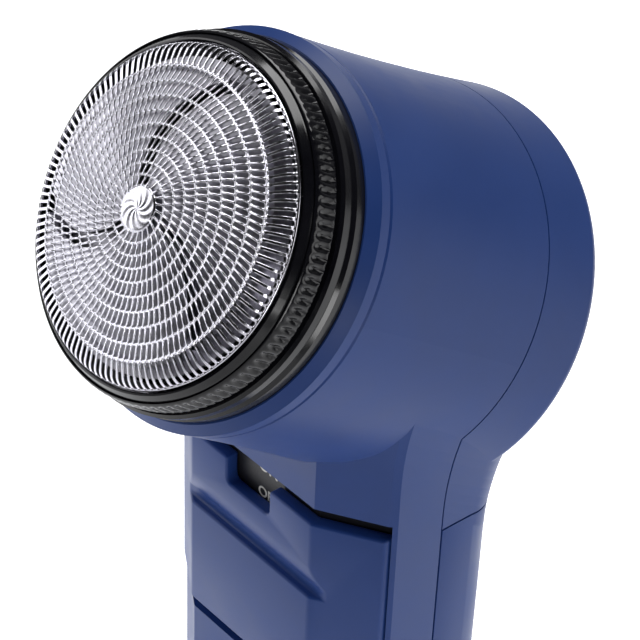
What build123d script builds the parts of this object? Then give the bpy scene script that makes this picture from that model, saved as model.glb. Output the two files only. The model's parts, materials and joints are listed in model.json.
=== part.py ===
"""Cordless round-head electric shaver: a tilted barrel head on an upright handle for two AA cells.

Millimetres, +Z up. The origin is the middle of the handle's flat base and the head faces -Y.
"""
import os
from math import asin, atan2, cos, degrees, radians, sin, sqrt, tan

from build123d import *

os.makedirs("parts", exist_ok=True)

# ---------------------------------------------------------------- driving dimensions
# handle, seen from above
handle_half_width = 21.0
cell_radius = 7.1
handle_depth = 2 * cell_radius + 10.6
front_flat_half_width = handle_half_width - 9.0
chamfer_edge_half_width = handle_half_width - 0.8
chamfer_drop = 5.0
rear_corner_radius = 5.5
wall = 1.8
front_wall = 3.2
seam_y = 1.4
seam_gap = 0.2

# head barrel, along its own axis from the outside of its back wall
head_tilt = 32.5
head_back_y = 16.0
head_back_z = 76.1
barrel_length = 38.8
barrel_front_radius = handle_half_width + 2.9
barrel_back_radius = barrel_front_radius + 2.6
barrel_flare_bulge = 0.35
barrel_back_edge_radius = 1.6
smallest_corner = 0.3
seam_bevel = 0.25
seam_height = 10.1
neck_fillet_radius = 26.0
neck_steps = 12
neck_sink = 0.1
chamfer_edge_break = 0.8

# collar, cutter base and lock ring, stacked in front of the barrel
collar_thickness = 2.9
collar_bevel = 1.2
flange_thickness = 3.6
head_gap = 0.3
lip_height = 3.8
lip_slope = 0.85
lip_gap = 0.15
ring_height = 3.0
knurl_height = 2.3
running_clearance = 0.08

# foil
foil_radius = barrel_front_radius - 4.1
foil_dome_radius = 62.0
foil_shoulder_radius = 1.8
foil_thickness = 0.25
foil_top_above_lip = 4.2
foil_flange_width = 0.6
cutter_clearance = 0.35
ring_inner_radius = foil_radius + 1.2
ring_front_radius = ring_inner_radius + 0.6
ring_back_radius = ring_inner_radius + 0.8
flange_radius = ring_back_radius + 0.7

# cutter and drive
cutter_radius = foil_radius - 1.5
cutter_disc_thickness = 0.5
blade_count = 3
blade_radius = foil_radius - 2.6
blade_thickness = 0.8
blade_rim = 0.9
gap_width = 1.7
rim_slot_angle = 42
carrier_thickness = 1.6
shaft_radius = 1.0
hub_radius = 3.0
spring_wire = 0.5

# motor
motor_radius = 12.0
motor_length = 25.0
motor_back_height = 6.0
motor_wall = 1.0
rotor_radius = 7.5
magnet_gap = 0.8
end_cap_thickness = 1.6
bush_radius = 3.0
bracket_thickness = 2.0
post_radius = 2.3
screw_radius = 1.1
screw_head_radius = 1.9
screw_head_height = 1.3
screw_bite = 5.0

# cells and battery bay
cell_length = 49.5
cell_nub_radius = 2.7
cell_nub_height = 1.0
cell_pitch = 2 * cell_radius + 1.0
cell_y = handle_depth / 2 - wall - 1.2 - cell_radius
cell_spring_height = 2.5
tray_wall = 1.0
plate_thickness = 0.3
floor_gap = 0.2

# switch slider on the front of the handle
slider_bottom = 29.3
slider_top = 58.4
slider_travel = 2.2
slider_thickness = 2.0
slider_side_gap = 0.3
slider_back_gap = 0.4
slider_proud = 0.5
lower_groove = 2.0
step_edge = 46.4
step_rise = 5.1
step_depth = 1.2
notch_left = -4.7
notch_right = 3.9
notch_depth = 4.1
notch_corner_radius = 0.9
link_width = 6.0
link_x = 8.0
link_thickness = 0.9
post_width = 4.0
label_thickness = 0.2

# battery door
door_height = 56.3
door_gap = 0.3

# ---------------------------------------------------------------- worked-out places
tilt = radians(head_tilt)
head_back = Vector(0, head_back_y, head_back_z)
head_direction = Vector(0, -cos(tilt), sin(tilt))
head_axis = Axis(head_back, head_direction)
head_section = Plane(origin=head_back, x_dir=(1, 0, 0), z_dir=(0, -sin(tilt), -cos(tilt)))

front_y = -handle_depth / 2
rear_y = handle_depth / 2
panel_y = front_y + slider_proud
chamfer_slope = chamfer_drop / (chamfer_edge_half_width - front_flat_half_width)
chamfer_lean = atan2(chamfer_drop, chamfer_edge_half_width - front_flat_half_width)
recess_depth = slider_thickness + slider_back_gap
recess_y = front_y + recess_depth
inner_front_y = recess_y + front_wall - slider_thickness
slider_opening_top = slider_top + slider_travel + 0.05

collar_back = barrel_length
collar_front = collar_back + collar_thickness
flange_front = collar_front + flange_thickness
ring_back = flange_front + head_gap
ring_front = ring_back + ring_height
knurl_front = ring_back + knurl_height
lip_front = ring_back + lip_height
foil_top = lip_front + foil_top_above_lip
dome_centre = foil_top - foil_dome_radius
shoulder_x = foil_radius - foil_shoulder_radius
shoulder_height = dome_centre + sqrt((foil_dome_radius - foil_shoulder_radius) ** 2 - shoulder_x**2)
frame_radius = ring_inner_radius - running_clearance
foil_seat = shoulder_height - foil_shoulder_radius

motor_front = motor_back_height + motor_length
bracket_front = motor_front + bracket_thickness
barrel_inner_radius = barrel_front_radius - wall
spigot_radius = barrel_inner_radius - 0.3
base_floor = collar_front + 0.2
base_floor_front = base_floor + 1.2

bay_floor = wall + floor_gap + tray_wall
bay_contact = bay_floor + plate_thickness
cell_low = bay_contact + cell_spring_height
cell_top = cell_low + cell_length + cell_nub_height
tray_top = cell_top + plate_thickness + tray_wall
tray_front_y = inner_front_y + 1.8
tray_half_width = cell_pitch / 2 + cell_radius + 0.5 + tray_wall


def head_plane(height):
    """The plane square to the head's axis, this far in front of the barrel's back."""
    return Plane(origin=head_back + head_direction * height, x_dir=(1, 0, 0), z_dir=head_direction)


def side_point(height, rise):
    """The Y and Z of a point of the head: its height along the axis, and its rise square to it."""
    y = head_back_y - height * cos(tilt) + rise * sin(tilt)
    z = head_back_z + height * sin(tilt) + rise * cos(tilt)
    return y, z


def spin(profile, mode=Mode.ADD):
    """Turns a closed outline of (radius, height) points about the head's axis."""
    with BuildSketch(head_section) as outline:
        with BuildLine():
            Polyline(*profile, close=True)
        make_face()
    revolve(outline.sketch, axis=head_axis, mode=mode)


def tube(outer, inner, low, high, mode=Mode.ADD):
    """A round tube on the head's axis between two heights."""
    spin([(inner, low), (outer, low), (outer, high), (inner, high)], mode)


def disc(radius, low, high, mode=Mode.ADD):
    """A round plug on the head's axis between two heights."""
    tube(radius, 0, low, high, mode)


def posts(radius, low, high, places, mode=Mode.ADD):
    """Round pegs along the head's axis at (x, rise) places."""
    with BuildSketch(head_plane(low)) as outline:
        with Locations(*places):
            Circle(radius)
    extrude(outline.sketch, amount=high - low, mode=mode)


def block(x0, x1, y0, y1, z0, z1, mode=Mode.ADD):
    """A box between two corners."""
    with Locations(((x0 + x1) / 2, (y0 + y1) / 2, (z0 + z1) / 2)):
        Box(x1 - x0, y1 - y0, z1 - z0, mode=mode)


def plan(points, z0, z1, mode=Mode.ADD):
    """An upright prism on a plan of (x, y) points."""
    with BuildSketch(Plane.XY.offset(z0)) as outline:
        with BuildLine():
            Polyline(*points, close=True)
        make_face()
    extrude(outline.sketch, amount=z1 - z0, mode=mode)


def side(points, half_width, mode=Mode.ADD):
    """A prism across the shaver on a side view of (y, z) points."""
    with BuildSketch(Plane.YZ) as outline:
        with BuildLine():
            Polyline(*points, close=True)
        make_face()
    extrude(outline.sketch, amount=half_width, both=True, mode=mode)


def coil(plane, radius, wire, height, turns):
    """A compression spring with its foot on the plane."""
    pitch = (height - 2 * wire) / turns
    with BuildPart(mode=Mode.PRIVATE) as spring:
        with BuildLine(Plane.XY.offset(wire)) as path:
            Helix(pitch=pitch, height=pitch * turns, radius=radius)
        with BuildSketch(Plane(origin=path.line @ 0, z_dir=path.line % 0)):
            Circle(wire / 2)
        sweep(path=path.line)
    return plane.location * spring.part


def barrel_outline(inset):
    """Outline of the barrel, flaring towards its back, drawn in from the outside by the inset."""
    back = barrel_back_radius - inset
    front = barrel_front_radius - inset
    middle = (back + front) / 2 - barrel_flare_bulge
    return back, middle, front


def barrel(inset):
    """Section of the barrel, drawn in from the outside by the inset but open at the front."""
    back_radius, middle_radius, front_radius = barrel_outline(inset)
    corner = max(barrel_back_edge_radius - inset, smallest_corner)
    with BuildSketch(head_section) as outline:
        with BuildLine():
            Line((0, inset), (back_radius - corner, inset))
            RadiusArc((back_radius - corner, inset), (back_radius, inset + corner), -corner)
            ThreePointArc((back_radius, inset + corner), (middle_radius, barrel_length / 2),
                          (front_radius, barrel_length - seam_bevel))
            Polyline((front_radius, barrel_length - seam_bevel), (front_radius - seam_bevel, barrel_length),
                     (0, barrel_length), (0, inset))
        make_face()
    return outline.sketch


def handle_plan(inset, front, slope_start):
    """Plan of the handle: flat front, two wide chamfers, straight sides and rounded rear corners."""
    half = handle_half_width - inset
    rear = rear_y - inset
    corner = rear_corner_radius - inset
    edge = front + (min(chamfer_edge_half_width, half) - slope_start) * chamfer_slope
    return [(-half, rear - corner), (-half, edge + chamfer_edge_break), (-min(chamfer_edge_half_width,
            half), edge),
            (-slope_start, front), (slope_start, front), (min(chamfer_edge_half_width, half), edge),
            (half, edge + chamfer_edge_break), (half, rear - corner)], rear, corner, half


def handle_face(inset, front, slope_start, z):
    """The handle's plan as a face at the given height."""
    points, rear, corner, half = handle_plan(inset, front, slope_start)
    with BuildSketch(Plane.XY.offset(z)) as outline:
        with BuildLine():
            Polyline(*points)
            RadiusArc((half, rear - corner), (half - corner, rear), -corner)
            Line((half - corner, rear), (corner - half, rear))
            RadiusArc((corner - half, rear), (-half, rear - corner), -corner)
        make_face()
    return outline.sketch


def front_band(depth, half, x_gap=0.0):
    """Plan points of the front's flat and chamfers, drawn in by the depth, out to the half width."""
    start = front_flat_half_width - depth * tan(chamfer_lean / 2)
    y = front_y + depth
    edge = half + x_gap
    return start, y, edge, y + (edge - start) * chamfer_slope


# ---------------------------------------------------------------- casing
handle_join = (rear_y - head_back_y) / sin(tilt)
handle_top_y, handle_top_z = side_point(0, handle_join)


def handle_rise(y):
    """Height at which the line under the barrel's axis crosses this Y."""
    height = (head_back_y + handle_join * sin(tilt) - y) / cos(tilt)
    return side_point(height, handle_join)[1]


handle_side = [(panel_y - 1, -1), (panel_y - 1, handle_rise(panel_y - 1)), (rear_y, handle_top_z),
               (rear_y, -1)]


def barrel_radius(height):
    """The barrel's outer radius at a height."""
    share = min(max(height, 0) / barrel_length, 1)
    straight = barrel_back_radius + (barrel_front_radius - barrel_back_radius) * share
    return straight - 4 * barrel_flare_bulge * share * (1 - share)


def neck_half(height, rise):
    """Half width of the neck: straight at the handle, then a hollow curve that runs into the barrel."""
    radius = barrel_radius(height)
    centre_x = handle_half_width + neck_fillet_radius
    centre_rise = -sqrt((radius + neck_fillet_radius) ** 2 - centre_x**2)
    touch_rise = centre_rise * radius / (radius + neck_fillet_radius)
    if rise <= centre_rise:
        return handle_half_width
    if rise < touch_rise:
        return centre_x - sqrt(neck_fillet_radius**2 - (rise - centre_rise) ** 2)
    return sqrt(radius**2 - rise**2) - neck_sink


def neck_section(rise):
    """The handle's plan, widened to the neck, where it crosses a plane parallel to the barrel's axis."""
    def height_at(y):
        return (head_back_y + rise * sin(tilt) - y) / cos(tilt)

    def place(x, y):
        return (x, *side_point(height_at(y), rise))

    edge_y = panel_y + chamfer_drop
    corner_y = rear_y - rear_corner_radius
    front_half = neck_half(height_at(edge_y), rise)
    rear_half = neck_half(height_at(corner_y), rise)
    edge = front_half - chamfer_edge_break
    bend = rear_corner_radius * (1 - cos(radians(45)))
    flat = rear_half - rear_corner_radius
    with BuildLine() as outline:
        Polyline(place(-rear_half, corner_y), place(-front_half, edge_y + chamfer_edge_break),
                 place(-edge, edge_y), place(-front_flat_half_width, panel_y),
                 place(front_flat_half_width, panel_y), place(edge, edge_y),
                 place(front_half, edge_y + chamfer_edge_break), place(rear_half, corner_y))
        ThreePointArc(place(rear_half, corner_y), place(rear_half - bend, rear_y - bend), place(flat,
                rear_y))
        Line(place(flat, rear_y), place(-flat, rear_y))
        ThreePointArc(place(-flat, rear_y), place(bend - rear_half, rear_y - bend), place(-rear_half,
                corner_y))
    return Face(outline.wires()[0])


with BuildPart() as neck:
    reach = barrel_back_radius + neck_fillet_radius
    neck_low = -sqrt(reach**2 - (handle_half_width + neck_fillet_radius) ** 2)
    loft([neck_section(neck_low + (handle_join - neck_low) * step / neck_steps)
          for step in range(neck_steps + 1)],
         ruled=True)

with BuildPart() as outer_form:
    extrude(handle_face(0, panel_y, front_flat_half_width, 0), amount=handle_rise(panel_y))
    side(handle_side, handle_half_width * 2, Mode.INTERSECT)
    revolve(barrel(0), axis=head_axis)
    add(neck.part)

with BuildPart() as inner_form:
    extrude(handle_face(wall, inner_front_y, front_flat_half_width - 0.6, wall),
            amount=handle_rise(panel_y))
    side(handle_side, handle_half_width * 2, Mode.INTERSECT)
    side([(rear_y - wall, -1), (rear_y - wall, side_point(wall, handle_join)[1]),
          side_point(wall, handle_join), side_point(wall, handle_join + 40), (rear_y + 40, 200),
          (rear_y + 40, -1)],
         handle_half_width * 2, Mode.SUBTRACT)
    revolve(barrel(wall), axis=head_axis)


with BuildPart() as casing:
    add(outer_form.part)
    add(inner_form.part, mode=Mode.SUBTRACT)

# the seam climbs the side of the handle, then follows a plane square to the head's axis
far = barrel_length * 2


def behind_seam(gap):
    """Side view of everything behind the seam, less a gap."""
    corner_rise = (seam_y + gap - head_back_y + (seam_height - gap) * cos(tilt)) / sin(tilt)
    return [(seam_y + gap, -far), (seam_y + gap, side_point(seam_height - gap, corner_rise)[1]),
            side_point(seam_height - gap, far), (far, far * 2), (far, -far)]


switch_slot = (link_x - post_width / 2 - slider_side_gap, link_x + post_width / 2 + slider_side_gap)
slot_low = slider_top - 7.0
post_low = slot_low + slider_side_gap
post_high = post_low + 2.6
slot_high = post_high + slider_travel + slider_side_gap
post_places = [(17.0, 0.0), (-17.0, 0.0)]
bracket_turn = 45.0
bracket_reach = barrel_inner_radius - 1.9
bracket_places = [(sign * bracket_reach * cos(radians(bracket_turn)),
                   sign * bracket_reach * sin(radians(bracket_turn))) for sign in (1, -1)]
tray_screw_heights = (12.0, 44.0)
boss_radius = 2.4

with BuildPart() as front_shell:
    add(casing.part)
    side(behind_seam(0), far, Mode.SUBTRACT)
    # recess that the switch slider runs in
    start, flat_y, edge, edge_y = front_band(recess_depth, chamfer_edge_half_width, slider_side_gap)
    plan([(-edge, front_y - 2), (-edge, edge_y), (-start, flat_y), (start, flat_y), (edge, edge_y),
          (edge, front_y - 2)], slider_bottom - lower_groove, slider_opening_top, Mode.SUBTRACT)
    # slot for the switch link, and pocket for the ON/OFF plate
    block(switch_slot[0], switch_slot[1], recess_y - 1, inner_front_y + 1, slot_low, slot_high,
          Mode.SUBTRACT)
    # bosses for the screws that hold the tray and the motor bracket
    for z in tray_screw_heights:
        with Locations(Plane(origin=(0, inner_front_y - 0.5, z), z_dir=(0, 1, 0))):
            Cylinder(boss_radius, tray_front_y - inner_front_y + 0.5, align=(Align.CENTER, Align.CENTER,
                    Align.MIN))
            Cylinder(screw_radius, tray_front_y - inner_front_y + 0.6, align=(Align.CENTER, Align.CENTER,
                    Align.MIN),
                     mode=Mode.SUBTRACT)
    posts(post_radius + 0.3, motor_front - 7, motor_front, bracket_places)
    posts(screw_radius, motor_front - 7, motor_front, bracket_places, Mode.SUBTRACT)

with BuildPart() as rear_form:
    add(casing.part)
    side(behind_seam(seam_gap), far, Mode.INTERSECT)

with BuildPart() as rear_shell:
    add(rear_form.part)
    block(-far, far, -far, far, -far, door_height, Mode.SUBTRACT)

with BuildPart() as battery_door:
    add(rear_form.part)
    block(-far, far, -far, far, door_height - door_gap, far * 3, Mode.SUBTRACT)
    side([(seam_y, -1), (seam_y, far), (seam_y + door_gap, far), (seam_y + door_gap, -1)], far,
         Mode.SUBTRACT)

with BuildPart() as head_collar:
    spin([(spigot_radius + 0.15, collar_back), (barrel_front_radius - seam_bevel, collar_back),
          (barrel_front_radius, collar_back + seam_bevel),
          (barrel_front_radius, collar_front - collar_bevel), (barrel_front_radius - collar_bevel,
                  collar_front),
          (spigot_radius + 0.15, collar_front)])

# ---------------------------------------------------------------- switch
with BuildPart() as switch_slider:
    outer = front_band(0, chamfer_edge_half_width)
    inner = front_band(slider_thickness, chamfer_edge_half_width)
    plan([(-outer[2], outer[3]), (-outer[0], outer[1]), (outer[0], outer[1]), (outer[2], outer[3]),
          (inner[2], inner[3]), (inner[0], inner[1]), (-inner[0], inner[1]), (-inner[2], inner[3])],
         slider_bottom, slider_top)
    # hollow for the thumb, ending at a raised edge
    with BuildSketch(Plane.YZ) as hollow:
        with BuildLine():
            ThreePointArc((front_y, step_edge + step_rise), (front_y + 0.35 * step_depth,
                    step_edge + 0.6 * step_rise),
                          (front_y + step_depth, step_edge + 0.25 * step_rise))
            Polyline((front_y + step_depth, step_edge + 0.25 * step_rise), (front_y + step_depth,
                    step_edge),
                     (front_y - 2, step_edge), (front_y - 2, step_edge + step_rise), (front_y,
                             step_edge + step_rise))
        make_face()
    extrude(hollow.sketch, amount=chamfer_edge_half_width, both=True, mode=Mode.SUBTRACT)
    with BuildSketch(Plane.XZ.offset(-front_y - slider_thickness - 1)) as notch:
        with Locations(((notch_left + notch_right) / 2, slider_top)):
            RectangleRounded(notch_right - notch_left, notch_depth * 2, notch_corner_radius)
    extrude(notch.sketch, amount=slider_thickness + 4, mode=Mode.SUBTRACT)

with BuildPart() as switch_link:
    link_y = inner_front_y + 0.4
    block(link_x - post_width / 2, link_x + post_width / 2, front_y + slider_thickness, link_y + 0.1,
          post_low,
          post_high)
    block(link_x - link_width / 2, link_x + link_width / 2, link_y, link_y + link_thickness, post_low - 1,
          tray_top + 6)

with BuildPart() as switch_bridge:
    bridge_y = link_y + link_thickness
    block(link_x - link_width / 2, link_x + link_width / 2, bridge_y, bridge_y + plate_thickness,
          tray_top + 3,
          tray_top + 6)
    block(link_x - link_width / 2, link_x + link_width / 2, bridge_y - link_thickness,
          bridge_y + plate_thickness,
          tray_top + 6, tray_top + 6 + plate_thickness)

leaf_low = tray_top + 6 + plate_thickness + slider_travel + 0.1
with BuildPart() as switch_contacts:
    for x in (link_x - link_width / 2, link_x + link_width / 2 - 2):
        block(x, x + 2, bridge_y - 0.6, bridge_y + 4, leaf_low, leaf_low + plate_thickness)
        block(x, x + 2, bridge_y + 4 - plate_thickness, bridge_y + 4, tray_top, leaf_low)

with BuildPart() as switch_label:
    label_half = chamfer_edge_half_width - 0.6
    outer = front_band(recess_depth - label_thickness, label_half)
    inner = front_band(recess_depth, label_half)
    plan([(-outer[2], outer[3]), (-outer[0], outer[1]), (outer[0], outer[1]), (outer[2], outer[3]),
          (inner[2], inner[3]), (inner[0], inner[1]), (-inner[0], inner[1]), (-inner[2], inner[3])],
         slot_low - 3, slider_opening_top)
    block(switch_slot[0] - 0.1, switch_slot[1] + 0.1, recess_y - 1, recess_y + 1, 0, slot_high + 0.1,
          Mode.SUBTRACT)

# ---------------------------------------------------------------- battery bay
tray_rear_y = rear_y - wall - 1.5
tray_side_y = rear_y - wall - 4
tray_flat_half = tray_half_width - 2.9


def tray_plan(inset, rear):
    """Plan of the battery tray, with its front corners cut to suit the handle."""
    half = tray_half_width - inset
    flat = tray_flat_half - inset
    front = tray_front_y + inset
    return [(-half, rear), (-half, front + (half - flat) * chamfer_slope), (-flat, front), (flat, front),
            (half, front + (half - flat) * chamfer_slope), (half, rear)]


with BuildPart() as battery_tray:
    plan(tray_plan(0, tray_side_y), wall + floor_gap, tray_top)
    plan(tray_plan(tray_wall, tray_side_y + 1), bay_floor, tray_top - tray_wall, Mode.SUBTRACT)
    for z in (wall + floor_gap, tray_top - tray_wall):
        plan(tray_plan(0, tray_rear_y), z, z + tray_wall)
    for z in tray_screw_heights:
        with Locations(Plane(origin=(0, tray_front_y - 1, z), z_dir=(0, 1, 0))):
            Cylinder(screw_radius, tray_wall + 2, align=(Align.CENTER, Align.CENTER, Align.MIN),
                     mode=Mode.SUBTRACT)

with BuildPart() as tray_screws:
    for z in tray_screw_heights:
        with Locations(Plane(origin=(0, inner_front_y - 0.4, z), z_dir=(0, 1, 0))):
            Cylinder(screw_radius, tray_front_y + tray_wall - inner_front_y + 0.4,
                     align=(Align.CENTER, Align.CENTER, Align.MIN))
        with Locations(Plane(origin=(0, tray_front_y + tray_wall, z), z_dir=(0, 1, 0))):
            Cylinder(screw_head_radius, screw_head_height, align=(Align.CENTER, Align.CENTER, Align.MIN))


def cell(x, low, upward):
    """A cell with its nub at the top or at the bottom."""
    nub = low + cell_length if upward else low - cell_nub_height
    with Locations((x, cell_y, low)):
        Cylinder(cell_radius, cell_length, align=(Align.CENTER, Align.CENTER, Align.MIN))
    with Locations((x, cell_y, nub)):
        Cylinder(cell_nub_radius, cell_nub_height, align=(Align.CENTER, Align.CENTER, Align.MIN))


with BuildPart() as battery_left:
    cell(-cell_pitch / 2, cell_low, True)

with BuildPart() as battery_right:
    cell(cell_pitch / 2, bay_contact + cell_nub_height, False)

contact_half = cell_pitch / 2 + 4
with BuildPart() as contact_bridge:
    block(-contact_half, contact_half, cell_y - 4, cell_y + 4, bay_floor, bay_contact)

with BuildPart() as contact_positive:
    block(-contact_half, -cell_pitch / 2 + 4, cell_y - 4, cell_y + 4, cell_top, cell_top + plate_thickness)

with BuildPart() as contact_negative:
    block(cell_pitch / 2 - 4, contact_half, cell_y - 4, cell_y + 4, cell_top, cell_top + plate_thickness)

coil_slack = 0.04
with BuildPart() as spring_lower:
    add(coil(Plane((-cell_pitch / 2, cell_y, bay_contact + coil_slack)), 3.2, spring_wire,
             cell_spring_height - 2 * coil_slack, 2.5))

with BuildPart() as spring_upper:
    right_top = bay_contact + cell_nub_height + cell_length
    add(coil(Plane((cell_pitch / 2, cell_y, right_top + coil_slack)), 3.2, spring_wire,
             cell_top - right_top - 2 * coil_slack, 2.5))

# ---------------------------------------------------------------- motor
can_inner = motor_radius - motor_wall
front_wall_height = motor_front - motor_wall
with BuildPart() as motor_can:
    tube(motor_radius, can_inner, motor_back_height, motor_front)
    tube(can_inner, bush_radius, front_wall_height, motor_front)

with BuildPart() as motor_end_cap:
    tube(motor_radius - 0.2, bush_radius, motor_back_height - end_cap_thickness, motor_back_height)
    tube(can_inner, can_inner - 1, motor_back_height, motor_back_height + 1.5)

with BuildPart() as rear_bush:
    tube(bush_radius, shaft_radius + 0.03, motor_back_height - end_cap_thickness, motor_back_height + 1)

with BuildPart() as front_bush:
    tube(bush_radius, shaft_radius + 0.03, front_wall_height - 1, motor_front + 0.5)

stack_low = motor_back_height + 7
stack_high = motor_front - 5
magnet_inner = rotor_radius + magnet_gap
with BuildPart() as motor_magnets:
    tube(can_inner, magnet_inner, stack_low - 1, stack_high + 1)
    with BuildSketch(head_plane(stack_low - 2)) as gaps:
        Rectangle(9, 2 * motor_radius + 1)
    extrude(gaps.sketch, amount=stack_high - stack_low + 4, mode=Mode.SUBTRACT)

with BuildPart() as motor_shaft:
    disc(shaft_radius, motor_back_height - end_cap_thickness, base_floor_front + 4)

pole_count = 3
pole_width = 2.6
shoe_depth = 1.6
with BuildPart() as rotor_core:
    tube(2.8, shaft_radius, stack_low, stack_high)
    with BuildSketch(head_plane(stack_low)) as poles:
        with PolarLocations(4.5, pole_count):
            Rectangle(5.4, pole_width)
        Circle(2, mode=Mode.SUBTRACT)
    extrude(poles.sketch, amount=stack_high - stack_low)
    tube(rotor_radius, rotor_radius - shoe_depth, stack_low, stack_high)
    with BuildSketch(head_plane(stack_low)) as openings:
        with PolarLocations(rotor_radius, pole_count, start_angle=180 / pole_count):
            Rectangle(shoe_depth * 3, 1.4)
    extrude(openings.sketch, amount=stack_high - stack_low, mode=Mode.SUBTRACT)

with BuildPart() as rotor_windings:
    tube(rotor_radius - shoe_depth - 0.3, 2.9, stack_low - 2, stack_high + 2)
    with BuildSketch(head_plane(stack_low)) as pole_room:
        with PolarLocations(4.5, pole_count):
            Rectangle(6, pole_width + 0.2)
    extrude(pole_room.sketch, amount=stack_high - stack_low, mode=Mode.SUBTRACT)

commutator_radius = 2.4
with BuildPart() as commutator:
    tube(commutator_radius, shaft_radius, motor_back_height + 1.5, stack_low - 2.2)

with BuildPart() as motor_brushes:
    with BuildSketch(head_plane(motor_back_height + 2)) as blocks:
        with Locations((commutator_radius + 0.1 + 1, 0), (-commutator_radius - 0.1 - 1, 0)):
            Rectangle(2, 1.6)
    extrude(blocks.sketch, amount=2)

with BuildPart() as motor_terminals:
    with BuildSketch(head_plane(motor_back_height - end_cap_thickness - 2)) as tabs:
        with Locations((7, 0), (-7, 0)):
            Rectangle(0.4, 2.4)
    extrude(tabs.sketch, amount=2)

with BuildPart() as motor_bracket:
    disc(barrel_inner_radius - 0.4, motor_front, bracket_front)
    disc(bush_radius + 0.6, motor_front - 1, bracket_front + 1, Mode.SUBTRACT)
    posts(post_radius, bracket_front, base_floor, post_places)
    posts(screw_radius, base_floor - screw_bite, base_floor, post_places, Mode.SUBTRACT)
    posts(screw_radius, motor_front, bracket_front, bracket_places, Mode.SUBTRACT)

with BuildPart() as bracket_screws:
    posts(screw_radius, bracket_front - screw_bite - 1, bracket_front, bracket_places)
    posts(screw_head_radius, bracket_front, bracket_front + screw_head_height, bracket_places)

# ---------------------------------------------------------------- cutter base
rim_inner = barrel_inner_radius - 2.6
with BuildPart() as cutter_base:
    spin([(rim_inner, base_floor), (spigot_radius, base_floor - 3), (spigot_radius, collar_front),
          (flange_radius, collar_front), (flange_radius, collar_front + 1.4),
          (flange_radius - 0.4, collar_front + 1.8), (flange_radius - 0.4, collar_front + 2.1),
          (flange_radius - 0.1, collar_front + 2.4),
          (flange_radius - 0.1, flange_front - 0.3), (flange_radius - 0.5, flange_front), (rim_inner,
                  flange_front)])
    tube(rim_inner + 0.5, hub_radius + 1.2, base_floor, base_floor_front)
    posts(screw_radius, base_floor - 1, base_floor_front + 1, post_places, Mode.SUBTRACT)

with BuildPart() as base_screws:
    posts(screw_radius, base_floor - screw_bite + 0.5, base_floor_front, post_places)
    posts(screw_head_radius, base_floor_front, base_floor_front + screw_head_height, post_places)

with BuildPart() as shaft_seal:
    tube(hub_radius + 1.2, hub_radius + 0.3, base_floor, base_floor_front)

# ---------------------------------------------------------------- cutter
hub_front = base_floor_front + 2.4
carrier_back = hub_front + 1.0
carrier_front = carrier_back + carrier_thickness
disc_front = carrier_front + cutter_disc_thickness
with BuildPart() as drive_hub:
    tube(hub_radius, shaft_radius, bracket_front + 2, hub_front)
    tube(hub_radius + 1.6, hub_radius, base_floor_front + 0.5, base_floor_front + 1.3)

with BuildPart() as cutter_carrier:
    tube(cutter_radius - 3, hub_radius + 2.4, carrier_back, carrier_front)
    disc(hub_radius + 2.4, carrier_front - 0.8, carrier_front)

with BuildPart() as cutter_spring:
    add(coil(head_plane(base_floor_front + 1.3 + coil_slack), hub_radius + 0.9, spring_wire,
             carrier_front - 0.8 - base_floor_front - 1.3 - 2 * coil_slack, 3))

with BuildPart() as cutter_disc:
    disc(cutter_radius, carrier_front, disc_front)

blade_dome = foil_dome_radius - foil_thickness - cutter_clearance
blade_back = blade_dome - blade_thickness


def dome_cap(radius, dome_radius):
    """A domed plug, from the cutter disc up to a sphere about the foil's own centre."""
    with BuildSketch(head_section) as outline:
        with BuildLine():
            Line((0, disc_front), (0, dome_centre + dome_radius))
            edge_height = dome_centre + sqrt(dome_radius**2 - radius**2)
            CenterArc((0, dome_centre), dome_radius, 90, -degrees(asin(radius / dome_radius)))
            Polyline((radius, edge_height), (radius, disc_front), (0, disc_front))
        make_face()
    return outline.sketch


with BuildPart() as cutter_blades:
    revolve(dome_cap(blade_radius, blade_dome), axis=head_axis)
    revolve(dome_cap(blade_radius - blade_rim, blade_back), axis=head_axis, mode=Mode.SUBTRACT)
    with BuildSketch(head_plane(disc_front - 1)) as gaps:
        for turn in range(blade_count):
            start = 360 / blade_count * turn
            with BuildLine():
                bend = [Vector(r, 0).rotate(Axis.Z, start - lag) for r, lag in
                        ((blade_radius * 0.2, 0), (blade_radius * 0.6, 16), (blade_radius + 1, 44))]
                spine = ThreePointArc(*bend)
                offset(amount=gap_width / 2, side=Side.BOTH)
            make_face()
    extrude(gaps.sketch, amount=foil_top - disc_front + 2, mode=Mode.SUBTRACT)
    with BuildSketch(head_plane(disc_front - 1)) as rim_slots:
        for turn in range(blade_count):
            with Locations(Rotation(0, 0, 360 / blade_count * turn + 20)):
                SlotArc(CenterArc((0, 0), blade_radius - blade_rim - 1.4, 0, rim_slot_angle), gap_width)
    extrude(rim_slots.sketch, amount=foil_top - disc_front + 2, mode=Mode.SUBTRACT)
    disc(3.0, disc_front, dome_centre + blade_back + 0.2)

# ---------------------------------------------------------------- foil head
def dome_line(inset):
    """Ends and middles of the foil's dome and rounded shoulder, drawn in by the inset."""
    big = foil_dome_radius - inset
    small = foil_shoulder_radius - inset
    lean = asin(shoulder_x / (foil_dome_radius - foil_shoulder_radius))
    top = (0, dome_centre + big)
    half = (big * sin(lean / 2), dome_centre + big * cos(lean / 2))
    join = (big * sin(lean), dome_centre + big * cos(lean))
    bend = (shoulder_x + small * sin((lean + radians(90)) / 2),
            shoulder_height + small * cos((lean + radians(90)) / 2))
    rim = (shoulder_x + small, shoulder_height)
    return top, half, join, bend, rim


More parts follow.
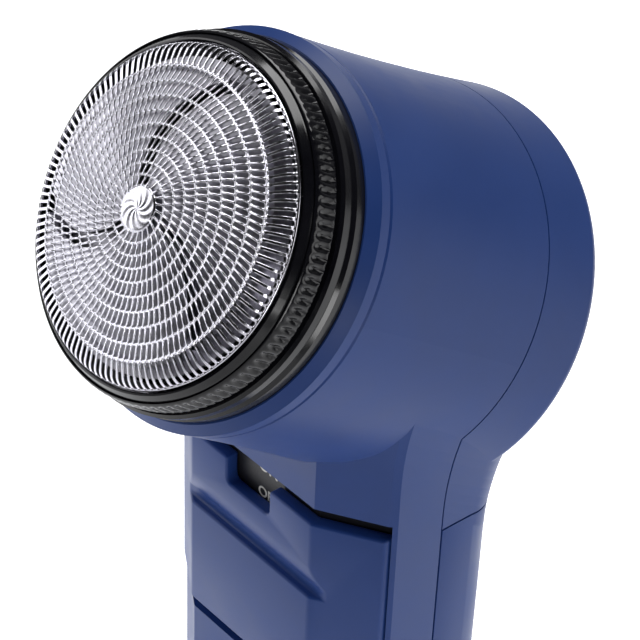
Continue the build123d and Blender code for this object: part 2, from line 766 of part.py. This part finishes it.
with BuildPart() as foil:
    top, half, join, bend, rim = dome_line(0)
    top_in, half_in, join_in, bend_in, rim_in = dome_line(foil_thickness)
    flange_edge = foil_radius + foil_flange_width
    with BuildSketch(head_section) as outline:
        with BuildLine():
            ThreePointArc(top, half, join)
            ThreePointArc(join, bend, rim)
            Polyline(rim, (foil_radius, foil_seat), (flange_edge, foil_seat),
                     (flange_edge, foil_seat - foil_thickness), (rim_in[0], foil_seat - foil_thickness),
                     rim_in)
            ThreePointArc(rim_in, bend_in, join_in)
            ThreePointArc(join_in, half_in, top_in)
            Line(top_in, top)
        make_face()
    revolve(outline.sketch, axis=head_axis)

frame_inner = foil_radius + lip_gap
with BuildPart() as foil_frame:
    spin([(frame_inner, foil_seat + lip_gap), (frame_inner, lip_front - 0.25), (frame_inner + 0.15,
            lip_front - 0.05),
          (frame_inner + 0.35, lip_front - 0.1), (frame_radius - 0.1, lip_front - lip_slope + 0.1),
          (frame_radius, lip_front - lip_slope - 0.05), (frame_radius, ring_back + 0.1),
          (flange_edge + lip_gap, ring_back + 0.1), (flange_edge + lip_gap, foil_seat + lip_gap)])

with BuildPart() as foil_retainer:
    tube(flange_edge, cutter_radius + 0.5, foil_seat - foil_thickness - 0.9, foil_seat - foil_thickness)

with BuildPart() as lock_ring:
    spin([(ring_inner_radius, ring_back), (ring_back_radius - 0.2, ring_back),
          (ring_back_radius, ring_back + 0.2), (ring_front_radius, knurl_front),
          (ring_front_radius - 0.08, knurl_front + 0.25), (ring_inner_radius + 0.15, ring_front),
          (ring_inner_radius, ring_front - 0.15)])

pieces = {
    "front_shell": front_shell, "rear_shell": rear_shell, "battery_door": battery_door,
    "head_collar": head_collar, "switch_slider": switch_slider, "switch_link": switch_link,
    "switch_bridge": switch_bridge, "switch_contacts": switch_contacts, "switch_label": switch_label,
    "battery_tray": battery_tray, "tray_screws": tray_screws, "battery_left": battery_left,
    "battery_right": battery_right, "contact_bridge": contact_bridge, "contact_positive": contact_positive,
    "contact_negative": contact_negative, "spring_lower": spring_lower, "spring_upper": spring_upper,
    "motor_can": motor_can, "motor_end_cap": motor_end_cap, "rear_bush": rear_bush,
    "front_bush": front_bush,
    "motor_magnets": motor_magnets, "motor_shaft": motor_shaft, "rotor_core": rotor_core,
    "rotor_windings": rotor_windings, "commutator": commutator, "motor_brushes": motor_brushes,
    "motor_terminals": motor_terminals, "motor_bracket": motor_bracket, "bracket_screws": bracket_screws,
    "cutter_base": cutter_base, "base_screws": base_screws, "shaft_seal": shaft_seal,
    "drive_hub": drive_hub,
    "cutter_carrier": cutter_carrier, "cutter_spring": cutter_spring, "cutter_disc": cutter_disc,
    "cutter_blades": cutter_blades, "foil": foil, "foil_frame": foil_frame, "foil_retainer": foil_retainer,
    "lock_ring": lock_ring,
}
for label, piece in pieces.items():
    piece.part.label = label
    export_step(piece.part, f"parts/{label}.step")
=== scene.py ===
# electric shaver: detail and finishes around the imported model, in metres
import bmesh
import bpy
import json
from math import asin, cos, pi, radians, sin, tau
from mathutils import Matrix, Vector


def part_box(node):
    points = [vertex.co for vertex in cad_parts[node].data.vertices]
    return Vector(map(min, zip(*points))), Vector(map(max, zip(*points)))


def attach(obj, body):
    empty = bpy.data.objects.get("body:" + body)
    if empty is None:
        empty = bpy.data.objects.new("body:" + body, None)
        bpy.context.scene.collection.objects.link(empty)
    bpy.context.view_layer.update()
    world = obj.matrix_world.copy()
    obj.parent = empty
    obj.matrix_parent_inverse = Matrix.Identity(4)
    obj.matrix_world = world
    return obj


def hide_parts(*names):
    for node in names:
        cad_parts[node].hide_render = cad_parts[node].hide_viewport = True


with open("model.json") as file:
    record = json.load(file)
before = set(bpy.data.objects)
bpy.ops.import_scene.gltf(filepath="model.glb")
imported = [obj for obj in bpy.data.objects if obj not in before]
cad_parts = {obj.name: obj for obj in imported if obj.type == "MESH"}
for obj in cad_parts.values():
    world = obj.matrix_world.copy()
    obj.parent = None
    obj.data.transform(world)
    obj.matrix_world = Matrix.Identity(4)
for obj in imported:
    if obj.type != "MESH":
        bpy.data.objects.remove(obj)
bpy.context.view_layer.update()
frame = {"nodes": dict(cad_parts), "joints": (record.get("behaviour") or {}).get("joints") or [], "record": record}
mm = 0.001
nodes = frame["nodes"]
joints = {joint["name"]: joint for joint in frame["joints"]}
print("frame loaded:", len(nodes), "nodes")

# the head's own axes: x across, y up the face, z out of the face, from the middle of the barrel's back
headOut = Vector(joints["cutter_spin"]["axis"]).normalized()
headUp = Vector((1, 0, 0)).cross(headOut) * -1
headMatrix = Matrix((Vector((1, 0, 0)), headUp, headOut)).transposed().to_4x4()
headMatrix.translation = Vector(joints["cutter_spin"]["pos_m"])


# small helpers for materials and meshes
def newMaterial(name, color, roughness, metallic=0.0, **sockets):
    material = bpy.data.materials.new(name)
    material.use_nodes = True
    shader = material.node_tree.nodes["Principled BSDF"]
    shader.inputs["Base Color"].default_value = (*color, 1)
    shader.inputs["Roughness"].default_value = roughness
    shader.inputs["Metallic"].default_value = metallic
    for socket, value in sockets.items():
        shader.inputs[socket].default_value = value
    return material, shader


def addNode(material, kind, **values):
    node = material.node_tree.nodes.new(kind)
    for name, value in values.items():
        if name in node.inputs:
            node.inputs[name].default_value = value
        else:
            setattr(node, name, value)
    return node


def link(material, outSocket, inSocket):
    material.node_tree.links.new(outSocket, inSocket)


def noiseField(material, scale, detail=4.0, roughness=0.6, stretch=(1, 1, 1)):
    place = addNode(material, "ShaderNodeTexCoord")
    mapping = addNode(material, "ShaderNodeMapping")
    mapping.inputs["Scale"].default_value = stretch
    noise = addNode(material, "ShaderNodeTexNoise", Scale=scale, Detail=detail, Roughness=roughness)
    link(material, place.outputs["Object"], mapping.inputs["Vector"])
    link(material, mapping.outputs["Vector"], noise.inputs["Vector"])
    return noise


def spread(material, field, low, high, fromLow=0.3, fromHigh=0.7):
    remap = addNode(material, "ShaderNodeMapRange")
    remap.inputs["From Min"].default_value = fromLow
    remap.inputs["From Max"].default_value = fromHigh
    remap.inputs["To Min"].default_value = low
    remap.inputs["To Max"].default_value = high
    link(material, field.outputs[0], remap.inputs["Value"])
    return remap.outputs["Result"]


def tint(material, shader, field, dark, light):
    ramp = addNode(material, "ShaderNodeValToRGB")
    ramp.color_ramp.elements[0].position = 0.3
    ramp.color_ramp.elements[1].position = 0.7
    ramp.color_ramp.elements[0].color = (*dark, 1)
    ramp.color_ramp.elements[1].color = (*light, 1)
    link(material, field.outputs[0], ramp.inputs["Fac"])
    link(material, ramp.outputs["Color"], shader.inputs["Base Color"])


def bump(material, shader, field, strength, distance):
    node = addNode(material, "ShaderNodeBump", Strength=strength, Distance=distance)
    link(material, field.outputs[0], node.inputs["Height"])
    link(material, node.outputs["Normal"], shader.inputs["Normal"])


def finishMesh(bm, name, material, body, replaced=(), smoothAngle=30.0):
    mesh = bpy.data.meshes.new(name)
    bm.to_mesh(mesh)
    bm.free()
    piece = bpy.data.objects.new(name, mesh)
    bpy.context.scene.collection.objects.link(piece)
    mesh.materials.append(material)
    mesh.shade_smooth()
    mesh.set_sharp_from_angle(angle=radians(smoothAngle))
    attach(piece, body)
    if replaced:
        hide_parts(*replaced)
    return piece


# finishes
bluePlastic = {
    "dark": (0.015, 0.047, 0.200), "light": (0.018, 0.054, 0.225),
    "roughness": (0.36, 0.46), "specular": 0.28, "cloudScale": 90,
    "grainScale": 5200, "grainStrength": 0.35, "grainDepth": 0.000006,
}


def makeBluePlastic():
    specular = {"Specular IOR Level": bluePlastic["specular"]}
    material, shader = newMaterial("bluePlastic", bluePlastic["dark"], 0.4, **specular)
    grain = noiseField(material, bluePlastic["grainScale"], 3.0)
    cloud = noiseField(material, bluePlastic["cloudScale"], 3.0)
    tint(material, shader, cloud, bluePlastic["dark"], bluePlastic["light"])
    link(material, spread(material, cloud, *bluePlastic["roughness"]), shader.inputs["Roughness"])
    bump(material, shader, grain, bluePlastic["grainStrength"], bluePlastic["grainDepth"])
    return material


glossPlastic = {
    "dark": (0.004, 0.004, 0.006), "light": (0.008, 0.008, 0.011), "roughness": (0.10, 0.20),
    "cloudScale": 140, "rippleScale": 900, "rippleStrength": 0.12, "rippleDepth": 0.000004,
}


def makeBlackGloss():
    material, shader = newMaterial("blackGloss", glossPlastic["dark"], 0.15)
    cloud = noiseField(material, glossPlastic["cloudScale"], 5.0)
    tint(material, shader, cloud, glossPlastic["dark"], glossPlastic["light"])
    link(material, spread(material, cloud, *glossPlastic["roughness"]), shader.inputs["Roughness"])
    ripple = noiseField(material, glossPlastic["rippleScale"], 2.0)
    bump(material, shader, ripple, glossPlastic["rippleStrength"], glossPlastic["rippleDepth"])
    return material


satinPlastic = {
    "base": (0.014, 0.014, 0.017), "dark": (0.008, 0.008, 0.011), "light": (0.014, 0.014, 0.018),
    "roughness": (0.38, 0.55), "cloudScale": 120,
    "grainScale": 4200, "grainStrength": 0.4, "grainDepth": 0.000006,
}


def makeBlackSatin():
    material, shader = newMaterial("blackSatin", satinPlastic["base"], 0.45)
    grain = noiseField(material, satinPlastic["grainScale"], 3.0)
    cloud = noiseField(material, satinPlastic["cloudScale"], 4.0)
    tint(material, shader, cloud, satinPlastic["dark"], satinPlastic["light"])
    link(material, spread(material, grain, *satinPlastic["roughness"]), shader.inputs["Roughness"])
    bump(material, shader, grain, satinPlastic["grainStrength"], satinPlastic["grainDepth"])
    return material


foilFinish = {"color": (0.78, 0.77, 0.85), "roughness": (0.16, 0.28)}


def makeSteel(name, color, roughness, scratchScale=1800, stretch=(1, 1, 8), depth=0.000003):
    material, shader = newMaterial(name, color, roughness[0], 1.0)
    scratch = noiseField(material, scratchScale, 4.0, 0.7, stretch)
    cloud = noiseField(material, 160, 3.0)
    tint(material, shader, cloud, tuple(value * 0.93 for value in color), color)
    link(material, spread(material, scratch, *roughness), shader.inputs["Roughness"])
    bump(material, shader, scratch, 0.25, depth)
    return material


def makePlain(name, color, roughness, metallic=0.0, grainScale=2500, variation=0.85):
    material, shader = newMaterial(name, color, roughness, metallic)
    grain = noiseField(material, grainScale, 3.0)
    cloud = noiseField(material, 200, 4.0)
    tint(material, shader, cloud, tuple(value * variation for value in color), color)
    dulled = spread(material, grain, roughness * 0.85, min(1.0, roughness * 1.2))
    link(material, dulled, shader.inputs["Roughness"])
    bump(material, shader, grain, 0.3, 0.000005)
    return material


finishes = {
    "blue_plastic": makeBluePlastic(),
    "black_gloss": makeBlackGloss(),
    "black_satin": makeBlackSatin(),
    "foil_steel": makeSteel("foilSteel", foilFinish["color"], foilFinish["roughness"]),
    # cutter: the foil's steel colour darkened by a third, painted shade for the cutter lying in shadow under the
    # foil
    "cutter_steel": makeSteel("cutterSteelPaintedShade", (0.52, 0.51, 0.57), (0.26, 0.40), 1200),
    "plated_steel": makeSteel("platedSteel", (0.66, 0.66, 0.65), (0.2, 0.34), 900),
    "spring_steel": makeSteel("springSteel", (0.62, 0.62, 0.62), (0.18, 0.3), 2200),
    "screw_steel": makeSteel("screwSteel", (0.55, 0.55, 0.54), (0.28, 0.42), 1600),
    "lamination_steel": makeSteel("laminationSteel", (0.30, 0.30, 0.31), (0.4, 0.55), 3000, (1, 1, 14)),
    "copper_wire": makePlain("copperWire", (0.60, 0.24, 0.09), 0.32, 1.0, 3200),
    "bronze": makePlain("bronze", (0.42, 0.27, 0.12), 0.5, 1.0, 3800),
    "brass": makePlain("brass", (0.72, 0.52, 0.20), 0.3, 1.0, 1500),
    "carbon": makePlain("carbon", (0.03, 0.03, 0.03), 0.7, 0.0, 4200),
    "ferrite": makePlain("ferrite", (0.05, 0.05, 0.055), 0.62, 0.0, 3800),
    "white_nylon": makePlain("whiteNylon", (0.72, 0.71, 0.66), 0.42, 0.0, 2600, 0.93),
    "seal_rubber": makePlain("sealRubber", (0.02, 0.02, 0.02), 0.75, 0.0, 3400),
    "cell_jacket": makePlain("cellJacket", (0.10, 0.11, 0.12), 0.3, 0.6, 700),
}
for subpart in frame["record"]["subparts"]:
    cadObject = nodes[subpart["node"]]
    for materialSlot in cadObject.material_slots:
        materialSlot.material = finishes[subpart["material_slot"]]
print("finishes assigned:", len(finishes))

# camera and light
view = {
    "place": (0.164905, -0.148596, 0.234065), "toward": (-0.609535, 0.543430, -0.577192),
    "roll": 2.415, "lens": 122.64, "sensor": 36.0,
}


def makeCamera():
    camera = bpy.data.cameras.new("camera")
    camera.lens = view["lens"]
    camera.sensor_width = view["sensor"]
    camera.clip_start = 0.01
    camera.clip_end = 20
    holder = bpy.data.objects.new("camera", camera)
    bpy.context.scene.collection.objects.link(holder)
    toward = Vector(view["toward"]).normalized()
    right = toward.cross(Vector((0, 0, 1))).normalized()
    up = right.cross(toward)
    turn = Matrix.Rotation(radians(-view["roll"]), 3, toward)
    right, up = turn @ right, turn @ up
    facing = Matrix((right, up, -toward)).transposed().to_4x4()
    holder.matrix_world = Matrix.Translation(view["place"]) @ facing
    bpy.context.scene.camera = holder


lamps = {
    "top": {"place": (-0.10, 0.14, 0.52), "aim": (0, 0.01, 0.09), "size": (0.36, 0.26), "power": 1.6},
    "left": {"place": (-0.50, -0.26, 0.26), "aim": (0, -0.01, 0.09), "size": (0.44, 0.50), "power": 1.5},
    "right": {"place": (0.52, 0.16, 0.24), "aim": (0, 0.0, 0.08), "size": (0.30, 0.44), "power": 0.7},
    "front": {"place": (0.42, -0.34, 0.18), "aim": (0.02, -0.02, 0.10), "size": (0.14, 0.20), "power": 0.5},
}


def makeLamps():
    for name, lamp in lamps.items():
        light = bpy.data.lights.new("lamp_" + name, "AREA")
        light.shape = "RECTANGLE"
        light.size, light.size_y = lamp["size"]
        light.energy = lamp["power"]
        holder = bpy.data.objects.new("lamp_" + name, light)
        bpy.context.scene.collection.objects.link(holder)
        away = Vector(lamp["place"]) - Vector(lamp["aim"])
        turn = away.to_track_quat("Z", "Y").to_matrix().to_4x4()
        holder.matrix_world = Matrix.Translation(lamp["place"]) @ turn


studio = {"bright": (-0.35, 0.93, 0.12), "low": 0.05, "high": 3.6, "facingFrom": 0.3, "facingTo": 1.0}


# a soft surround, bright behind the shaver and dim in front of it
def makeWorld():
    world = bpy.data.worlds.new("studio")
    bpy.context.scene.world = world
    world.use_nodes = True
    tree = world.node_tree
    place = tree.nodes.new("ShaderNodeTexCoord")
    facing = tree.nodes.new("ShaderNodeVectorMath")
    facing.operation = "DOT_PRODUCT"
    facing.inputs[1].default_value = studio["bright"]
    remap = tree.nodes.new("ShaderNodeMapRange")
    remap.inputs["From Min"].default_value = studio["facingFrom"]
    remap.inputs["From Max"].default_value = studio["facingTo"]
    remap.inputs["To Min"].default_value = studio["low"]
    remap.inputs["To Max"].default_value = studio["high"]
    tree.links.new(place.outputs["Generated"], facing.inputs[0])
    tree.links.new(facing.outputs["Value"], remap.inputs["Value"])
    tree.links.new(remap.outputs["Result"], tree.nodes["Background"].inputs["Strength"])


# pale floor with a glow that fades towards the viewer
floorParts = {
    "halfSize": 6.0, "drop": 0.0002, "base": (0.93, 0.93, 0.94), "glow": (0.98, 0.99, 1.0), "cloudScale": 6,
    "dark": (0.92, 0.92, 0.93), "light": (0.94, 0.94, 0.95),
    "behind": (-0.746, 0.665, 0), "fadeFrom": -0.14, "fadeTo": 0.01, "glowLow": 0.12, "glowHigh": 0.95,
}


def makeFloor():
    bm = bmesh.new()
    bmesh.ops.create_grid(bm, x_segments=1, y_segments=1, size=floorParts["halfSize"])
    bmesh.ops.translate(bm, verts=bm.verts, vec=(0, 0, -floorParts["drop"]))
    mesh = bpy.data.meshes.new("floor")
    bm.to_mesh(mesh)
    bm.free()
    floor = bpy.data.objects.new("floor", mesh)
    bpy.context.scene.collection.objects.link(floor)
    material, shader = newMaterial("paleFloor", floorParts["base"], 0.8)
    cloud = noiseField(material, floorParts["cloudScale"], 2.0)
    tint(material, shader, cloud, floorParts["dark"], floorParts["light"])
    shader.inputs["Emission Color"].default_value = (*floorParts["glow"], 1)
    place = addNode(material, "ShaderNodeTexCoord")
    behind = addNode(material, "ShaderNodeVectorMath", operation="DOT_PRODUCT")
    behind.inputs[1].default_value = floorParts["behind"]
    link(material, place.outputs["Object"], behind.inputs[0])
    fade = addNode(material, "ShaderNodeMapRange")
    fade.inputs["From Min"].default_value = floorParts["fadeFrom"]
    fade.inputs["From Max"].default_value = floorParts["fadeTo"]
    fade.inputs["To Min"].default_value = floorParts["glowLow"]
    fade.inputs["To Max"].default_value = floorParts["glowHigh"]
    link(material, behind.outputs["Value"], fade.inputs["Value"])
    link(material, fade.outputs["Result"], shader.inputs["Emission Strength"])
    mesh.materials.append(material)


bpy.context.scene.view_settings.view_transform = "Standard"
makeCamera()
makeLamps()
makeWorld()
makeFloor()
print("camera, lamps and floor made")

# moulded parts with their sharp edges eased
easedParts = {
    "switch_slider": {"body": "switch", "slot": "blue_plastic", "width": 0.35},
    "battery_door": {"body": "battery_door", "slot": "blue_plastic", "width": 0.2},
}


def easeEdges(node, part):
    bm = bmesh.new()
    bm.from_mesh(nodes[node].data)
    bmesh.ops.remove_doubles(bm, verts=bm.verts, dist=1e-6)
    shared = [edge for edge in bm.edges if len(edge.link_faces) == 2]
    flat = [edge for edge in shared if edge.calc_face_angle(0) < radians(1)]
    bmesh.ops.dissolve_edges(bm, edges=flat, use_verts=True)
    sharp = [edge for edge in bm.edges if len(edge.link_faces) == 2 and edge.calc_face_angle(0) > radians(20)]
    bmesh.ops.bevel(bm, geom=sharp, offset=part["width"] * mm, offset_type="OFFSET", affect="EDGES", segments=3,
                    profile=0.5, material=-1, clamp_overlap=True)
    bmesh.ops.triangulate(bm, faces=[face for face in bm.faces if len(face.verts) > 4])
    return finishMesh(bm, node + "_eased", finishes[part["slot"]], part["body"], [node], 35)


for node, part in easedParts.items():
    easeEdges(node, part)
print("edges eased:", len(easedParts))

# words on the switch plate
wordParts = {
    "words": {
        "ON": {"place": (1.15, 59.0), "size": 2.4},
        "OFF": {"place": (1.15, 54.7), "size": 2.2},
    },
    "thicken": 0.00003, "height": 0.00002, "lift": 0.00003,
}


def makeWords():
    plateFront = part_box("switch_label")[0].y
    for word, part in wordParts["words"].items():
        curve = bpy.data.curves.new("word_" + word, "FONT")
        curve.body = word
        curve.size = part["size"] * mm
        curve.align_x = "CENTER"
        curve.align_y = "CENTER"
        curve.offset = wordParts["thicken"]
        curve.extrude = wordParts["height"]
        holder = bpy.data.objects.new("word_" + word, curve)
        bpy.context.scene.collection.objects.link(holder)
        bpy.context.view_layer.update()
        depsgraph = bpy.context.evaluated_depsgraph_get()
        mesh = bpy.data.meshes.new_from_object(holder.evaluated_get(depsgraph))
        bpy.data.objects.remove(holder)
        across, up = part["place"]
        place = Matrix.Translation((across * mm, plateFront - wordParts["lift"], up * mm))
        mesh.transform(place @ Matrix.Rotation(pi / 2, 4, "X"))
        piece = bpy.data.objects.new("word_" + word, mesh)
        bpy.context.scene.collection.objects.link(piece)
        mesh.materials.append(finishes["white_nylon"])
        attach(piece, "housing")


makeWords()
print("words made")

# foil: etched steel sheet with rows of slots round a plain middle
foilParts = {
    "rim": 19.8, "dome": 62.0, "shoulder": 1.8, "top": 53.6, "thickness": 0.1,
    "firstRow": 2.6, "lastRow": 16.9, "rows": 9, "slotsPerStep": 12, "web": 0.23, "skew": 18.0,
    "longEnd": 20.55, "longSlots": 126, "longWeb": 0.36, "foot": 22.9, "flange": 0.6,
    "swirls": 9, "swirlHeight": 0.05, "swirlTwist": 0.55, "rowGrowth": 0.45, "longCuts": 9,
    "middle": (0.0, 0.4, 0.8, 1.2, 1.6, 2.0, 2.35, 2.6), "middleSteps": 96, "skirt": (20.8, 21.1, 22.0),
}


# radius and height of the foil at a distance along its section from the middle, in millimetres
def foilProfile(distance):
    dome, shoulder = foilParts["dome"], foilParts["shoulder"]
    inner = foilParts["rim"] - shoulder
    lean = asin(inner / (dome - shoulder))
    centre = foilParts["top"] - dome
    if distance <= dome * lean:
        angle = distance / dome
        return dome * sin(angle), centre + dome * cos(angle)
    shoulderHeight = centre + (dome - shoulder) * cos(lean)
    angle = lean + (distance - dome * lean) / shoulder
    if angle <= pi / 2:
        return inner + shoulder * sin(angle), shoulderHeight + shoulder * cos(angle)
    return foilParts["rim"], shoulderHeight - (angle - pi / 2) * shoulder


# lays a flat polar pattern, in millimetres, onto the dome
def wrapOnFoil(bm):
    for vertex in bm.verts:
        distance = vertex.co.xy.length
        radius, height = foilProfile(distance)
        lift = vertex.co.z
        if distance > 1e-6:
            vertex.co.x *= radius / distance
            vertex.co.y *= radius / distance
        vertex.co.z = height + lift


# one flat ring of identical round-cornered slots between two distances from the middle
def slotRow(inner, outer, count, web, skew, cuts=0, roundness=0.44):
    bm = bmesh.new()
    half = pi / count
    slant = (outer - inner) * sin(radians(skew)) / ((inner + outer) / 2)
    corners = [bm.verts.new((distance * cos(angle), distance * sin(angle), 0)) for distance, angle in
               ((inner, -half), (outer, -half - slant), (outer, half - slant), (inner, half))]
    slot = bm.faces.new(corners)
    bm.normal_update()
    border = bmesh.ops.inset_individual(bm, faces=[slot], thickness=web / 2, use_even_offset=True)["faces"]
    bmesh.ops.delete(bm, geom=border, context="FACES_KEEP_BOUNDARY")
    bmesh.ops.bevel(bm, geom=list(slot.verts), offset=(2 * half * inner - web) * roundness,
                    offset_type="OFFSET", affect="VERTICES", segments=3, profile=0.5, material=-1)
    bmesh.ops.delete(bm, geom=bm.faces[:], context="FACES_ONLY")
    bmesh.ops.bridge_loops(bm, edges=bm.edges[:])
    for cut in range(1, cuts + 1):
        distance = inner + (outer - inner) * cut / (cuts + 1)
        bmesh.ops.bisect_plane(bm, geom=bm.verts[:] + bm.edges[:] + bm.faces[:], plane_co=(distance, 0, 0),
                               plane_no=(1, 0, 0), dist=1e-6)
    bmesh.ops.spin(bm, geom=bm.verts[:] + bm.edges[:] + bm.faces[:], cent=(0, 0, 0), axis=(0, 0, 1), angle=tau,
                   steps=count, use_duplicate=True)
    bmesh.ops.remove_doubles(bm, verts=bm.verts, dist=1e-4)
    return bm


# a plain flat ring through the given distances from the middle
def spunRing(distances, steps):
    bm = bmesh.new()
    line = [bm.verts.new((distance, 0, 0)) for distance in distances]
    edges = [bm.edges.new(pair) for pair in zip(line, line[1:])]
    bmesh.ops.spin(bm, geom=line + edges, cent=(0, 0, 0), axis=(0, 0, 1), angle=tau, steps=steps,
                   use_merge=True)
    bmesh.ops.remove_doubles(bm, verts=bm.verts, dist=1e-5)
    return bm


def appendTo(target, source):
    mesh = bpy.data.meshes.new("part")
    source.to_mesh(mesh)
    source.free()
    target.from_mesh(mesh)
    bpy.data.meshes.remove(mesh)


def makeFoil():
    parts = foilParts
    bm = bmesh.new()
    steps = [1 + parts["rowGrowth"] * row / (parts["rows"] - 1) for row in range(parts["rows"])]
    unit = (parts["lastRow"] - parts["firstRow"]) / sum(steps)
    edge = parts["firstRow"]
    for row, step in enumerate(steps):
        nextEdge = edge + unit * step
        count = parts["slotsPerStep"] * (row + 2)
        appendTo(bm, slotRow(edge, nextEdge, count, parts["web"], parts["skew"]))
        edge = nextEdge
    appendTo(bm, slotRow(edge, parts["longEnd"], parts["longSlots"], parts["longWeb"], 0, parts["longCuts"]))
    middle = spunRing(parts["middle"], parts["middleSteps"])
    for vertex in middle.verts:
        distance = vertex.co.xy.length
        angle = vertex.co.xy.angle_signed(Vector((1, 0)), 0) if distance > 1e-6 else 0
        fade = sin(pi * min(distance / parts["firstRow"], 1))
        swirl = parts["swirls"] * (-angle + distance * parts["swirlTwist"])
        vertex.co.z = parts["swirlHeight"] * fade * sin(swirl)
    appendTo(bm, middle)
    appendTo(bm, spunRing([parts["longEnd"], *parts["skirt"], parts["foot"]], parts["longSlots"]))
    wrapOnFoil(bm)
    flange = bmesh.new()
    radius, height = foilProfile(parts["foot"])
    line = [flange.verts.new((radius, 0, height)), flange.verts.new((radius + parts["flange"], 0, height))]
    bmesh.ops.spin(flange, geom=line + [flange.edges.new(line)], cent=(0, 0, 0), axis=(0, 0, 1), angle=tau,
                   steps=parts["longSlots"], use_merge=True)
    appendTo(bm, flange)
    bmesh.ops.remove_doubles(bm, verts=bm.verts, dist=1e-4)
    bmesh.ops.scale(bm, vec=(mm, mm, mm), verts=bm.verts)
    bmesh.ops.recalc_face_normals(bm, faces=bm.faces)
    bmesh.ops.transform(bm, matrix=headMatrix, verts=bm.verts)
    upward = sum(face.normal.dot(headOut) * face.calc_area() for face in bm.faces)
    if upward < 0:
        bmesh.ops.reverse_faces(bm, faces=bm.faces)
    piece = finishMesh(bm, "foilSheet", finishes["foil_steel"], "foil_head", ["foil"], 40)
    wall = piece.modifiers.new("thickness", "SOLIDIFY")
    wall.thickness = parts["thickness"] * mm
    wall.offset = -1
    return piece


foilSheet = makeFoil()
print("foil made:", len(foilSheet.data.polygons), "faces")

# lock ring: a tapered ring with a knurled outside
ringParts = {
    "teeth": 112, "depth": 0.42, "back": 45.6, "front": 48.6, "knurlLow": 45.85, "knurlHigh": 48.15,
    "backRadius": 21.8, "edgeRadius": 21.6, "edge": 47.9, "inner": 21.0, "pointsPerTooth": 6, "levels": 7,
    "backLip": ((0.3, 0.0), (0.06, 0.1)), "frontLip": ((0.3, 0.12), (0.12, 0.02), (0.0, 0.15)),
    "taperPower": 1.3, "edgeLean": 0.55, "toothPower": 0.6,
}
toothShape = [0.0, 0.1, 0.75, 1.0, 0.75, 0.1]


def makeLockRing():
    parts = ringParts
    outline = [(parts["inner"], parts["back"])]
    outline += [(parts["backRadius"] - inward, parts["back"] + up) for inward, up in parts["backLip"]]
    for level in range(parts["levels"]):
        share = level / (parts["levels"] - 1)
        height = parts["knurlLow"] + (parts["knurlHigh"] - parts["knurlLow"]) * share
        radius = parts["backRadius"] + (parts["edgeRadius"] - parts["backRadius"]) * share ** parts["taperPower"]
        outline.append((radius - max(0.0, height - parts["edge"]) * parts["edgeLean"], height))
    outline += [(parts["inner"] + outward, parts["front"] - down) for outward, down in parts["frontLip"]]
    bm = bmesh.new()
    line = [bm.verts.new((radius, 0, height)) for radius, height in outline]
    edges = [bm.edges.new(pair) for pair in zip(line, line[1:] + line[:1])]
    bmesh.ops.spin(bm, geom=line + edges, cent=(0, 0, 0), axis=(0, 0, 1), angle=tau,
                   steps=parts["teeth"] * parts["pointsPerTooth"], use_merge=True)
    bmesh.ops.remove_doubles(bm, verts=bm.verts, dist=1e-5)
    for vertex in bm.verts:
        radius = vertex.co.xy.length
        share = (vertex.co.z - parts["knurlLow"]) / (parts["knurlHigh"] - parts["knurlLow"])
        if radius < parts["inner"] + 0.2 or not 0.01 < share < 0.99:
            continue
        turn = vertex.co.xy.angle_signed(Vector((1, 0)), 0) / tau * parts["teeth"] % 1.0
        cut = toothShape[int(round(turn * parts["pointsPerTooth"])) % parts["pointsPerTooth"]]
        vertex.co.xy *= (radius - cut * parts["depth"] * sin(pi * share) ** parts["toothPower"]) / radius
    bmesh.ops.recalc_face_normals(bm, faces=bm.faces)
    bmesh.ops.scale(bm, vec=(mm, mm, mm), verts=bm.verts)
    bmesh.ops.transform(bm, matrix=headMatrix, verts=bm.verts)
    return finishMesh(bm, "knurledRing", finishes["black_gloss"], "lock_ring", ["lock_ring"], 50)


makeLockRing()
print("lock ring made")
